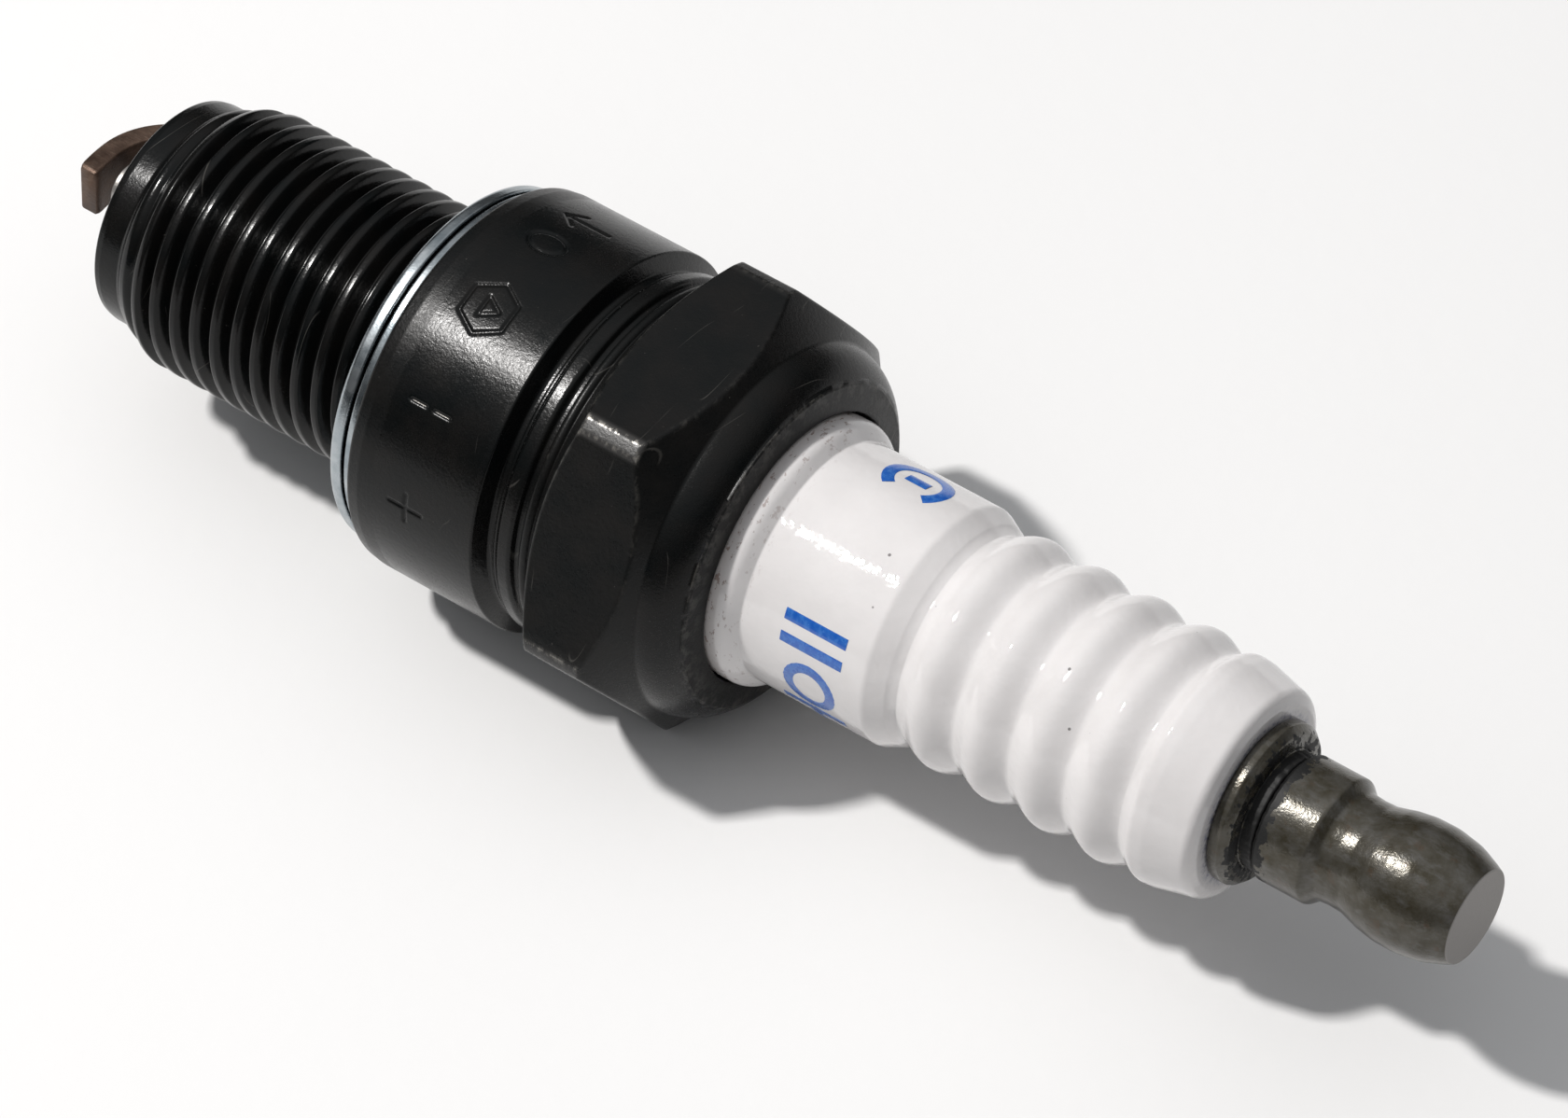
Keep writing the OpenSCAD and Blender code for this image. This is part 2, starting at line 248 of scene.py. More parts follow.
class Finish:
    """A node material. Its patterns use the piece's own coordinates, so they move with it."""

    def __init__(self, name, metallic=0.0, specular=0.5, coat=0.0, coat_roughness=0.1):
        self.material = bpy.data.materials.new(name)
        self.material.use_nodes = True
        self.nodes = self.material.node_tree.nodes
        self.links = self.material.node_tree.links
        self.shader = self.nodes["Principled BSDF"]
        self.shader.inputs["Metallic"].default_value = metallic
        self.shader.inputs["Specular IOR Level"].default_value = specular
        self.shader.inputs["Coat Weight"].default_value = coat
        self.shader.inputs["Coat Roughness"].default_value = coat_roughness
        self.place = self.nodes.new("ShaderNodeTexCoord").outputs["Object"]

    def feed(self, socket, value):
        if isinstance(value, bpy.types.NodeSocket):
            self.links.new(value, socket)
        elif isinstance(value, tuple):
            socket.default_value = (*value, 1.0)
        else:
            socket.default_value = value

    def set(self, name, value):
        self.feed(self.shader.inputs[name], value)

    def stretched(self, x=1.0, y=1.0, z=1.0):
        node = self.nodes.new("ShaderNodeMapping")
        self.links.new(self.place, node.inputs["Vector"])
        node.inputs["Scale"].default_value = (x, y, z)
        return node.outputs["Vector"]

    def noise(self, size, detail=3.0, roughness=0.55, place=None):
        """Noise whose features are about size millimetres."""
        node = self.nodes.new("ShaderNodeTexNoise")
        self.links.new(place or self.place, node.inputs["Vector"])
        node.inputs["Scale"].default_value = 1 / (size * MM)
        node.inputs["Detail"].default_value = detail
        node.inputs["Roughness"].default_value = roughness
        return node.outputs["Fac"]

    def cells(self, size):
        """Distance to the nearest of scattered points that are about size millimetres apart."""
        node = self.nodes.new("ShaderNodeTexVoronoi")
        self.links.new(self.place, node.inputs["Vector"])
        node.inputs["Scale"].default_value = 1 / (size * MM)
        return node.outputs["Distance"]

    def between(self, value, low, high, to_low=0.0, to_high=1.0):
        """A value that goes evenly from to_low at low to to_high at high, and no further."""
        node = self.nodes.new("ShaderNodeMapRange")
        for socket, number in zip(node.inputs, (value, low, high, to_low, to_high)):
            self.feed(socket, number)
        return node.outputs["Result"]

    def calc(self, kind, a, b=0.0):
        node = self.nodes.new("ShaderNodeMath")
        node.operation = kind
        self.feed(node.inputs[0], a)
        self.feed(node.inputs[1], b)
        return node.outputs["Value"]

    def mix(self, share, a, b):
        node = self.nodes.new("ShaderNodeMix")
        node.data_type = "RGBA"
        self.feed(node.inputs["Factor"], share)
        self.feed(node.inputs[6], a)
        self.feed(node.inputs[7], b)
        return node.outputs[2]

    def fact(self, name):
        node = self.nodes.new("ShaderNodeAttribute")
        node.attribute_name = name
        return node.outputs["Fac"]

    def axis(self, name):
        node = self.nodes.new("ShaderNodeSeparateXYZ")
        self.links.new(self.place, node.inputs["Vector"])
        return node.outputs[name]

    def bump(self, height, depth, under=None):
        """Relief depth millimetres deep, added on top of an earlier one."""
        node = self.nodes.new("ShaderNodeBump")
        node.inputs["Distance"].default_value = depth * MM
        self.links.new(height, node.inputs["Height"])
        if under:
            self.links.new(under, node.inputs["Normal"])
        self.set("Normal", node.outputs["Normal"])
        return node.outputs["Normal"]


def black_oxide():
    """The shell: black oxide steel, glossy where it was rolled and matt where it was pressed."""
    f = Finish("black_oxide_steel", specular=0.2)
    cloud = f.noise(2.2, 4)
    grain = f.noise(0.09, 2, 0.6)
    scuff = f.noise(0.3, 4, 0.7, f.stretched(1, 0.5, 0.5))
    # Lighter with wear on edges and turned hex corners. On one edge of each corner, and on the
    # corner facing the camera, this is also a painted highlight.
    wear_and_painted_light = f.calc("MULTIPLY", f.fact("wear_and_painted_light"), f.between(scuff, 0.47, 0.6))
    specks = f.between(f.noise(0.2, 2), 0.75, 0.8)
    contour = f.noise(2.4, 1, 0.5, f.stretched(1, 0.25, 0.25))
    line = f.calc("ABSOLUTE", f.calc("SUBTRACT", contour, 0.5))
    some = f.between(f.noise(3.1, 2), 0.55, 0.65)
    scratch = f.calc("MULTIPLY", f.between(line, 0.004, 0.001), some)
    light = f.calc("MAXIMUM", wear_and_painted_light, f.calc("MULTIPLY", f.calc("MAXIMUM", specks, scratch), 0.16))
    # Values from 1 to 2 mark the stamped dashes, painted as light steel for a painted highlight.
    light = f.calc("MAXIMUM", light, f.between(f.fact("bare_and_highlight"), 1, 2))
    oxide = f.mix(f.between(cloud, 0.3, 0.7), (0.0022, 0.003, 0.0032), (0.0055, 0.005, 0.0046))
    # Turned steel on the hex corners, strongest as a painted highlight on the corner facing the
    # camera and the key light.
    turned = f.mix(f.fact("bare_and_highlight"), oxide, (0.036, 0.035, 0.034))
    f.set("Base Color", f.mix(light, turned, (0.30, 0.285, 0.26)))
    f.set("Metallic", f.between(light, 0.2, 1, 0, 0.7))
    matt = f.calc("ADD", f.fact("roughness"), f.between(cloud, 0.3, 0.7, -0.03, 0.04))
    f.set("Roughness", f.calc("ADD", matt, f.between(grain, 0.3, 0.7, -0.05, 0.08)))
    rough = f.between(f.fact("roughness"), 0.16, 0.215, 0.4, 1.0)
    relief = f.bump(f.calc("MULTIPLY", grain, rough), 0.006)
    f.bump(f.calc("MULTIPLY", f.noise(0.25, 3, 0.6), rough), 0.011, relief)
    return f.material


def zinc():
    """The gasket: bright zinc on steel sheet, with painted shade darkening the slot of the fold.
    """
    f = Finish("zinc_plated_steel", metallic=1.0)
    marks = f.noise(0.12, 3, 0.6)
    cloud = f.noise(1.4, 3)
    bright = f.mix(f.between(cloud, 0.35, 0.65), (0.27, 0.31, 0.335), (0.46, 0.495, 0.515))
    # Painted shade: the slot of the fold is darkened.
    f.set("Base Color", f.mix(f.fact("wear_and_painted_light"), bright, (0.012, 0.016, 0.02)))
    f.set("Roughness", f.between(cloud, 0.3, 0.7, 0.2, 0.32))
    f.bump(marks, 0.006)
    return f.material


def glaze():
    """The insulator: white glazed alumina with pin specks, brown dirt beside the rim, painted
    shade where it comes out of the shell, and bluish painted shade with grime round the stud's
    flange."""
    f = Finish("glazed_alumina", specular=0.45)
    cloud = f.noise(3.0, 3)
    white = f.mix(f.between(cloud, 0.3, 0.7), (0.65, 0.632, 0.63), (0.70, 0.682, 0.68))
    specks = f.between(f.cells(1.9), 0.035, 0.05, 1, 0)
    white = f.mix(f.calc("MULTIPLY", specks, 0.8), white, (0.10, 0.09, 0.09))
    x = f.axis("X")
    near = f.between(x, (LIP_X + 1.9) * MM, (LIP_X - 0.1) * MM)
    blots = f.between(f.noise(0.45, 4, 0.7, f.stretched(1.6, 0.8, 0.8)), 0.585, 0.63)
    dirt = f.calc("MULTIPLY", f.calc("MULTIPLY", near, blots), 0.8)
    white = f.mix(dirt, white, (0.16, 0.075, 0.05))
    # Painted shade: the glaze darkens towards the shell's rim, where it comes out of the shell.
    lip_shade = f.between(x, (LIP_X + 0.7) * MM, (LIP_X - 0.3) * MM, 0, 0.45)
    white = f.mix(lip_shade, white, (0.30, 0.25, 0.22))
    squares = [f.calc("POWER", f.axis(name), 2) for name in "YZ"]
    out = f.calc("POWER", f.calc("ADD", *squares), 0.5)
    grime = f.between(f.noise(0.25, 3, 0.65), 0.45, 0.65, 0.25, 1.0)
    # Painted shade, bluish, on the end face round the stud's flange, made patchy by grime.
    face = f.between(x, (TOP_X - 0.12) * MM, (TOP_X - 0.02) * MM)
    beside = f.between(out, (FLANGE_R + 0.45) * MM, (FLANGE_R + 0.05) * MM, 0.08, 0.75)
    flange_shade_and_grime = f.calc("MULTIPLY", f.calc("MULTIPLY", face, beside), grime)
    white = f.mix(flange_shade_and_grime, white, (0.16, 0.17, 0.27))
    f.set("Base Color", white)
    f.set("Roughness", f.between(cloud, 0.3, 0.7, 0.03, 0.06))
    f.shader.inputs["Subsurface Weight"].default_value = 0.1
    f.shader.inputs["Subsurface Radius"].default_value = (1.0, 0.9, 0.85)
    f.shader.inputs["Subsurface Scale"].default_value = 0.6 * MM
    ripple = f.bump(f.noise(1.2, 1), 0.004)
    f.bump(f.noise(0.42, 1), 0.015, ripple)
    return f.material


def print_ink():
    """The blue marks on the glaze, a little uneven as from a rubber stamp."""
    f = Finish("blue_ink", specular=0.5, coat=0.4, coat_roughness=0.08)
    patchy = f.between(f.noise(0.35, 3), 0.35, 0.7)
    f.set("Base Color", f.mix(patchy, (0.008, 0.085, 0.40), (0.03, 0.15, 0.48)))
    f.set("Roughness", f.between(patchy, 0, 1, 0.18, 0.35))
    f.bump(f.noise(0.12, 2), 0.002)
    return f.material


def olive_steel(name, black_from, black_to, end_x=None):
    """Dark passivated steel of the stud and nut. Black sealer covers it between two places on
    the axis, and the end face at end_x is rubbed lighter."""
    f = Finish(name, specular=0.45)
    cloud = f.noise(1.3, 4, 0.6)
    grain = f.noise(0.13, 3, 0.6)
    smear = f.noise(0.5, 4, 0.65, f.stretched(0.5, 1, 1))
    steel = f.mix(f.between(cloud, 0.35, 0.65), (0.046, 0.040, 0.026), (0.09, 0.085, 0.073))
    steel = f.mix(f.between(smear, 0.5, 0.72, 0, 0.6), steel, (0.125, 0.123, 0.119))
    rust = f.between(f.noise(0.7, 3), 0.6, 0.72)
    steel = f.mix(f.calc("MULTIPLY", rust, 0.4), steel, (0.075, 0.042, 0.022))
    x = f.axis("X")
    matt = f.between(cloud, 0.3, 0.7, 0.17, 0.26)
    if end_x:
        face = f.between(x, (end_x - 0.06) * MM, (end_x - 0.02) * MM)
        steel = f.mix(face, steel, (0.27, 0.258, 0.248))
        matt = f.calc("MAXIMUM", matt, f.between(face, 0, 1, 0, 0.55))
    ragged = f.calc("ADD", x, f.between(f.noise(0.5, 3, 0.6), 0.35, 0.65, -0.28 * MM, 0.28 * MM))
    start = f.between(ragged, (black_from - 0.01) * MM, (black_from + 0.01) * MM)
    stop = f.between(ragged, (black_to - 0.01) * MM, (black_to + 0.01) * MM, 1, 0)
    sealer = f.calc("MULTIPLY", start, stop)
    f.set("Base Color", f.mix(sealer, steel, (0.002, 0.002, 0.002)))
    f.set("Metallic", f.between(sealer, 0, 1, 0.45, 0.0))
    f.set("Roughness", f.calc("ADD", matt, f.between(sealer, 0, 1, 0, 0.4)))
    relief = f.bump(grain, 0.012)
    f.bump(f.noise(0.4, 3), 0.012, relief)
    return f.material


def heat_tinted_nickel():
    """The ground strap: nickel alloy with a brown heat tint, greyer where it was sheared."""
    f = Finish("heat_tinted_nickel", metallic=0.7)
    cloud = f.noise(1.1, 4, 0.6)
    drawn = f.noise(0.1, 3, 0.6, f.stretched(0.25, 1, 1))
    tint = f.mix(f.between(cloud, 0.35, 0.65), (0.066, 0.04, 0.028), (0.14, 0.092, 0.068))
    f.set("Base Color", f.mix(f.between(drawn, 0.55, 0.75, 0, 0.45), tint, (0.19, 0.15, 0.12)))
    f.set("Roughness", f.between(cloud, 0.3, 0.7, 0.36, 0.58))
    f.bump(drawn, 0.03)
    return f.material


def plain(name, dark, light, metallic, rough, size, depth):
    """A cloudy two-tone finish, for the centre electrode and the pieces inside."""
    f = Finish(name, metallic=metallic)
    cloud = f.noise(size * 8, 4, 0.6)
    f.set("Base Color", f.mix(f.between(cloud, 0.35, 0.65), dark, light))
    f.set("Roughness", f.between(cloud, 0.3, 0.7, rough - 0.08, rough + 0.1))
    f.bump(f.noise(size, 3, 0.6), depth)
    return f.material


def give(obj, material, body=None, replaces=()):
    """Gives a piece its material and says what it is to the frame."""
    obj.data.materials.clear()
    obj.data.materials.append(material)
    if body:
        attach(obj, body)
    if replaces:
        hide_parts(*replaces)


# ---------------------------------------------------------------- shell

NOSE_R = 5.95
NOSE_BORE_R = 4.2
# Radii inside: the ledge under the insulator, the bore above it, and the room for the powder
LEDGE_R = 4.1
BORE_R = 5.05
ROOM_R = 8.1
THREAD_R = 6.93
THREAD_ROOT_R = 6.17
THREAD_PITCH = 1.25
THREAD_X0 = NOSE_X + 1.5
THREAD_X1 = GASKET_X - 0.75
COLLAR_R = 10.0
COLLAR_X1 = SEAT_X + 7.6
GROOVE_R = 9.12
RIDGE_R = 9.28
BEAD_R = 9.44
FRONT_CHAMFER = (11.85, 1.556)
BACK_CHAMFER = (17.95, 1.167)
RIM_X = 18.5
# The hex corner that faces the camera and the key light. Its turned patch and edge lines are made
# stronger there as painted highlight, on top of the wear on every corner.
WORN_AND_LIT_CORNER = 120
FRONT_BEAD = (11.66, 0.32, 0.36)
HEX_START_X = 11.3
HEX_LAST_ROWS = (18.22, 18.34, 18.42)
# The dome is part of an ellipse: its centre, its half axes and where the lip begins
DOME_CENTRE = (18.2, 7.0)
DOME_SIZE = (2.517, 2.72)
DOME_END = (20.3, 8.5)
LIP_BORE_R = 7.04
LIP_EDGE_R = 8.4
MOUTH_X = 19.6

# Marks stamped into the collar: distance from the seat, angle around the axis, and size
EMBLEM = (3.8, 104.5, 1.45)
TRIANGLE_SIZE = 0.62
RING = (3.65, 77.5, 1.0)
STAMP_DEPTH = 0.09
STAMP_WIDTH = 0.14
DASH_ANGLE = 136
DASHES = ((2.61, 3.5), (3.97, 4.86))
DASH_HALF_WIDTH = 0.065
# The strokes of the arrow and the cross: distance and angle of one end, then of the other
ARROW_AND_CROSS = (
    (2.7, 62, 5.2, 62), (2.7, 62, 3.5, 58), (2.7, 62, 3.5, 66),
    (2.7, 167, 4.6, 167), (3.65, 162.5, 3.65, 171.5))
STAMPED_ANGLES = (55, 174)


def shell_columns():
    """Close columns where the collar is stamped, and extra ones at the dashes and corners."""
    start, stop = STAMPED_ANGLES
    beside_dash = np.array([-0.5, -0.3, -0.15, 0.15, 0.3, 0.5])
    beside_corner = np.array([-2.6, -2.05, -1.75, -1.45, 0, 1.45, 1.75, 2.05, 2.6])
    stamped = np.concatenate([np.arange(start, stop, 0.45), DASH_ANGLE + beside_dash])
    corners = np.concatenate([60 * k + beside_corner for k in (0, 3, 4, 5)])
    rest = [a for a in np.arange(stop, start + 360, 1.5)
            if min(abs((a - c + 180) % 360 - 180) for c in corners) > 0.5]
    angles = np.concatenate([stamped, rest, corners]) % 360
    return np.radians(np.unique(np.round(angles, 3)))


def segment_distance(u, v, a, b):
    """How far the points (u, v) are from the line between a and b."""
    ax, ay = a
    dx, dy = b[0] - ax, b[1] - ay
    share = np.clip(((u - ax) * dx + (v - ay) * dy) / (dx * dx + dy * dy), 0, 1)
    return np.hypot(u - ax - share * dx, v - ay - share * dy)


def stamp_depth(x, theta):
    """Depth of the stamped marks: a hexagon round a triangle, a ring, an arrow, two dashes
    and a cross. They are drawn on the collar as if it were unrolled."""
    u = np.degrees(theta) * math.radians(1) * COLLAR_R
    v = x - SEAT_X
    lines = []

    def at(mark):
        return mark[1] * math.radians(1) * COLLAR_R, mark[0]

    def loop(middle, radius, sides, turn, wide=1.0):
        angles = [math.radians(turn + 360 * i / sides) for i in range(sides + 1)]
        tips = [(middle[0] + wide * radius * math.cos(a), middle[1] + radius * math.sin(a))
                for a in angles]
        lines.extend(zip(tips, tips[1:]))

    loop(at(EMBLEM), EMBLEM[2], 6, 0)
    loop(at(EMBLEM), TRIANGLE_SIZE, 3, 90)
    loop(at(RING), RING[2], 18, 0, 0.7)
    for stroke in ARROW_AND_CROSS:
        lines.append((at(stroke[:2]), at(stroke[2:])))
    for start, stop in DASHES:
        lines.append((at((start, DASH_ANGLE)), at((stop, DASH_ANGLE))))
    near = np.min([segment_distance(u, v, a, b) for a, b in lines], axis=0)
    return STAMP_DEPTH * smooth(STAMP_WIDTH, 0, near)


def dash_painted_highlight(x, theta):
    """The two dashes are painted bright, a painted highlight along the stamped grooves."""
    across = np.abs(np.degrees(theta) - DASH_ANGLE) * math.radians(1) * COLLAR_R
    along_dash = [smooth(0, 0.1, x - SEAT_X - a) * smooth(0, 0.1, b + SEAT_X - x)
                  for a, b in DASHES]
    return np.max(along_dash, axis=0) * smooth(DASH_HALF_WIDTH, 0.0, across)


def hexagon_radius(theta):
    off_flat = np.radians((np.degrees(theta) % 60) - 30)
    return soft_min(HEX_FLAT_R / np.cos(off_flat), HEX_CORNER_R, 0.06)


def hexagon_rows(skin):
    """Each column's rows gather at the two curved edges where the chamfers cut the flats."""
    size = hexagon_radius(skin.theta)
    x_front = FRONT_CHAMFER[0] + (size - GROOVE_R) / FRONT_CHAMFER[1]
    x_back = BACK_CHAMFER[0] - (size - HEX_FLAT_R) / BACK_CHAMFER[1]
    near = np.array([-0.28, -0.16, -0.08, 0, 0.08, 0.16, 0.28])
    bead_x, bead_half, bead_height = FRONT_BEAD
    over_bead = bead_x + bead_half * np.sin(np.radians(np.arange(-90, 91, 20)))
    start = np.concatenate([[HEX_START_X], over_bead])
    stop = np.array(HEX_LAST_ROWS)
    rows = [np.full_like(size, s) for s in start]
    rows += [start[-1] + (x_front - 0.34 - start[-1]) * k / 5 for k in range(1, 6)]
    rows += [x_front + n for n in near]
    rows += [x_front + 0.36 + (x_back - x_front - 0.72) * k / 10 for k in range(11)]
    rows += [x_back + n for n in near]
    rows += [x_back + 0.34 + (stop[0] - x_back - 0.34) * k / 5 for k in range(5)]
    rows += [np.full_like(size, s) for s in stop]
    x = np.maximum.accumulate(np.array(rows), axis=0)
    front = GROOVE_R + (x - FRONT_CHAMFER[0]) * FRONT_CHAMFER[1]
    back = HEX_FLAT_R - (x - BACK_CHAMFER[0]) * BACK_CHAMFER[1]
    r = soft_min(soft_min(np.broadcast_to(size, x.shape), back, 0.12), front, 0.12)
    bead = GROOVE_R + bead_height * np.sqrt(np.clip(1 - ((x - bead_x) / bead_half) ** 2, 0, 1))
    r = soft_max(r, bead, 0.06)
    turn = np.degrees(skin.theta) % 60
    patch = smooth(HEX_CORNER_R - 0.16, HEX_CORNER_R - 0.04, r)
    between = (x > x_front) & (x < x_back)
    rim = bell(np.minimum(abs(x - x_front), abs(x - x_back)), 0.1) * (0.07 + 0.4 * patch)
    # A bright line on one edge of every corner patch: edge wear, strengthened as a painted
    # highlight on the side the light catches.
    side = (2 * bell(turn - 58.3, 0.3) + 0.3 * bell(turn - 1.75, 0.4)) * between
    # Wear on every corner, raised to a painted highlight on the corner facing the camera and the
    # key light.
    rubbed_and_lit = 0.25 + bell(np.degrees(skin.theta) - WORN_AND_LIT_CORNER, 30)
    wear_and_painted_light = np.maximum(rim, side) * rubbed_and_lit
    skin.rows(x, r, 0.31 - 0.03 * patch, wear_and_painted_light, np.minimum(patch * rubbed_and_lit, 1))


def thread_profile(phase):
    """Height on a rolled thread over one pitch, from 0 to 1. It has a flat crest with round
    shoulders, 60 degree flanks and a narrow root."""
    away = np.abs(phase % 1 - 0.5) * THREAD_PITCH
    flat, shoulder_r = 0.09, 0.18
    beside = np.maximum(away - flat, 0)
    side = shoulder_r * math.sin(math.radians(60))
    shoulder = shoulder_r - np.sqrt(shoulder_r ** 2 - np.minimum(beside, side) ** 2)
    drop = shoulder + math.tan(math.radians(60)) * np.maximum(beside - side, 0)
    return 1 - soft_min(drop / (THREAD_R - THREAD_ROOT_R), 1, 0.1)


def make_shell():
    skin = Skin(shell_columns())
    theta = skin.theta
    skin.outline(rounded([
        (NOSE_X, NOSE_BORE_R, 0), (NOSE_X, NOSE_R - 0.08, 0.2), (NOSE_X + 0.45, NOSE_R, 0.3),
        (THREAD_X0 - 0.1, NOSE_R, 0)]), 0.2)
    phases = [0, 0.04, 0.1, 0.2, 0.3, 0.335, 0.37, 0.4, 0.43,
              0.5, 0.57, 0.6, 0.63, 0.665, 0.7, 0.8, 0.9, 0.96]

    def root(x):
        lead_in = smooth(THREAD_X0, THREAD_X0 + 0.5, x)
        lead_out = smooth(THREAD_X1, THREAD_X1 - 0.5, x)
        return NOSE_R + (THREAD_ROOT_R - NOSE_R) * lead_in * lead_out

    def depth(x):
        lead_in = smooth(THREAD_X0, THREAD_X0 + 2.3, x)
        lead_out = smooth(THREAD_X1, THREAD_X1 - 1.2, x)
        return (THREAD_R - THREAD_ROOT_R) * lead_in * lead_out

    x, r = helix_rows(
        theta, THREAD_X0, THREAD_X1, THREAD_PITCH, phases, depth, root, thread_profile)
    skin.rows(x, r, 0.17, shift=len(phases))
    skin.outline(rounded([
        (THREAD_X1 + 0.1, NOSE_R, 0), (SEAT_X, NOSE_R, 0.15), (SEAT_X, COLLAR_R - 0.12, 0.28),
        (SEAT_X + 0.8, COLLAR_R, 0.6), (SEAT_X + 1.6, COLLAR_R, 0)]), 0.3)
    x = np.arange(SEAT_X + 1.7, COLLAR_X1 - 0.35, 0.075).reshape(-1, 1) + 0 * theta
    # The stamped dashes get a painted highlight.
    skin.rows(x, COLLAR_R - stamp_depth(x, theta), 0.215, 0, 2 * dash_painted_highlight(x, theta))
    groove = rounded([
        (COLLAR_X1 - 0.3, COLLAR_R, 0), (COLLAR_X1, COLLAR_R, 0.14),
        (COLLAR_X1 + 0.42, GROOVE_R, 0.3), (COLLAR_X1 + 0.72, GROOVE_R, 0.1),
        (COLLAR_X1 + 0.8, RIDGE_R, 0.06), (COLLAR_X1 + 0.93, RIDGE_R, 0.06),
        (COLLAR_X1 + 0.98, RIDGE_R - 0.08, 0.04), (COLLAR_X1 + 1.08, BEAD_R, 0.2),
        (COLLAR_X1 + 1.8, BEAD_R, 0.35), (COLLAR_X1 + 1.98, GROOVE_R, 0.15),
        (HEX_START_X, GROOVE_R, 0)])
    skin.outline(groove, [0.25 if p[1] > COLLAR_R - 0.1 else 0.21 for p in groove])
    hexagon_rows(skin)
    dome = []
    for k in range(19):
        x = RIM_X + (DOME_END[0] - RIM_X) * k / 18
        off = (x - DOME_CENTRE[0]) / DOME_SIZE[0]
        dome.append((x, DOME_CENTRE[1] + DOME_SIZE[1] * math.sqrt(1 - off ** 2)))
    skin.outline(dome, 0.25)
    nick = 0.035 * rough_line(theta, 9, 3.1)
    lip_x, lip_r = skin.spread(rounded([
        (*DOME_END, 0), (DOME_END[0] + 0.1, 8.36, 0.1), (LIP_X, 7.2, 0.12),
        (LIP_X, LIP_BORE_R, 0.1), (MOUTH_X, LIP_BORE_R, 0)]))
    edge = smooth(0.35, 0.0, np.abs(lip_r - LIP_EDGE_R)) * (lip_x < LIP_X - 0.1)
    skin.rows(np.minimum(lip_x, LIP_X), lip_r + nick * edge, 0.4, 0.16 * edge)
    skin.outline(rounded([
        (MOUTH_X, LIP_BORE_R, 0), (18.1, ROOM_R, 0.1), (4.9, ROOM_R, 0.2), (3.3, BORE_R, 0.2),
        (-4.6, BORE_R, 0.1), (-5.5, LEDGE_R, 0.1), (-6.1, LEDGE_R, 0.05),
        (-6.5, NOSE_BORE_R, 0.1), (NOSE_X + 0.1, NOSE_BORE_R, 0)]), 0.5)
    obj = skin.build("threaded_shell", closed=True)
    give(obj, black_oxide(), "plug", ["shell"])


# ---------------------------------------------------------------- gasket

GASKET_BORE_R = 6.62
FOLD_GAP = 0.08
FACE_SLACK = 0.01


def make_gasket():
    """Two layers of sheet round a slot, with the strip's edge inside the slot."""
    skin = Skin(even_columns(240))
    inner, outer = GASKET_BORE_R, GASKET_R
    x0, x1 = GASKET_X + FACE_SLACK, SEAT_X - FACE_SLACK
    mid = (x0 + x1) / 2 + 0.1
    low, high = mid - FOLD_GAP, mid + FOLD_GAP
    deep = outer - 0.5
    x, r = skin.spread(rounded([
        (mid - 0.1, inner, 0), (x0 + 0.25, inner, 0.2), (x0, 7.2, 0.35), (x0, outer, 0.62),
        (low, outer, 0.12), (low + 0.01, deep, 0.01), (mid - 0.05, deep, 0.01),
        (mid, outer - 0.2, 0.02), (mid + 0.05, deep, 0.01), (high - 0.01, deep, 0.01),
        (high, outer - 0.02, 0.13), (x1, outer - 0.02, 0.34), (x1, 7.2, 0.35),
        (x1 - 0.25, inner, 0.2), (mid + 0.1, inner, 0)]))
    wave = 0.02 * rough_line(skin.theta, 1.6, 8.2)
    fold = (np.abs(x - mid) < FOLD_GAP + 0.02) & (r > 7.5)
    # Painted shade in the slot between the two sheets.
    fold_shade = fold * smooth(outer - 0.1, outer - 0.28, r)
    skin.rows(x, r - np.abs(wave) * (r > 8.8), wear_and_painted_light=fold_shade)
    give(skin.build("folded_gasket", closed=True), zinc(), "gasket", ["gasket"])


# ---------------------------------------------------------------- insulator

BARREL_R = 6.2
RIB_R = 5.97
VALLEY_R = 5.4
RIB_PITCH = 3.1
FIRST_VALLEY_X = SEAT_X + 28.9
RIBS = 4
RIB_STEPS = 24
SHOULDER_R = 8.0
FOOT_R = 6.9
# Below the shoulder: the body, its seat on the ledge, the bores for the stud and the tip, and
# the place where the bores meet
BODY_R = 4.95
SEAT_R = 3.85
STUD_BORE_R = 2.0
TIP_BORE_R = 1.31
BORE_STEP_X = -2.5


def rib_outline():
    """The ribs: broad round crests with narrower round valleys."""
    points = []
    for i in range(RIBS * RIB_STEPS + 1):
        turn = 2 * math.pi * i / RIB_STEPS
        wave = 0.5 - 0.5 * math.cos(turn)
        r = VALLEY_R + (RIB_R - VALLEY_R) * wave ** 0.75
        points.append((FIRST_VALLEY_X + RIB_PITCH * i / RIB_STEPS, r))
    return points


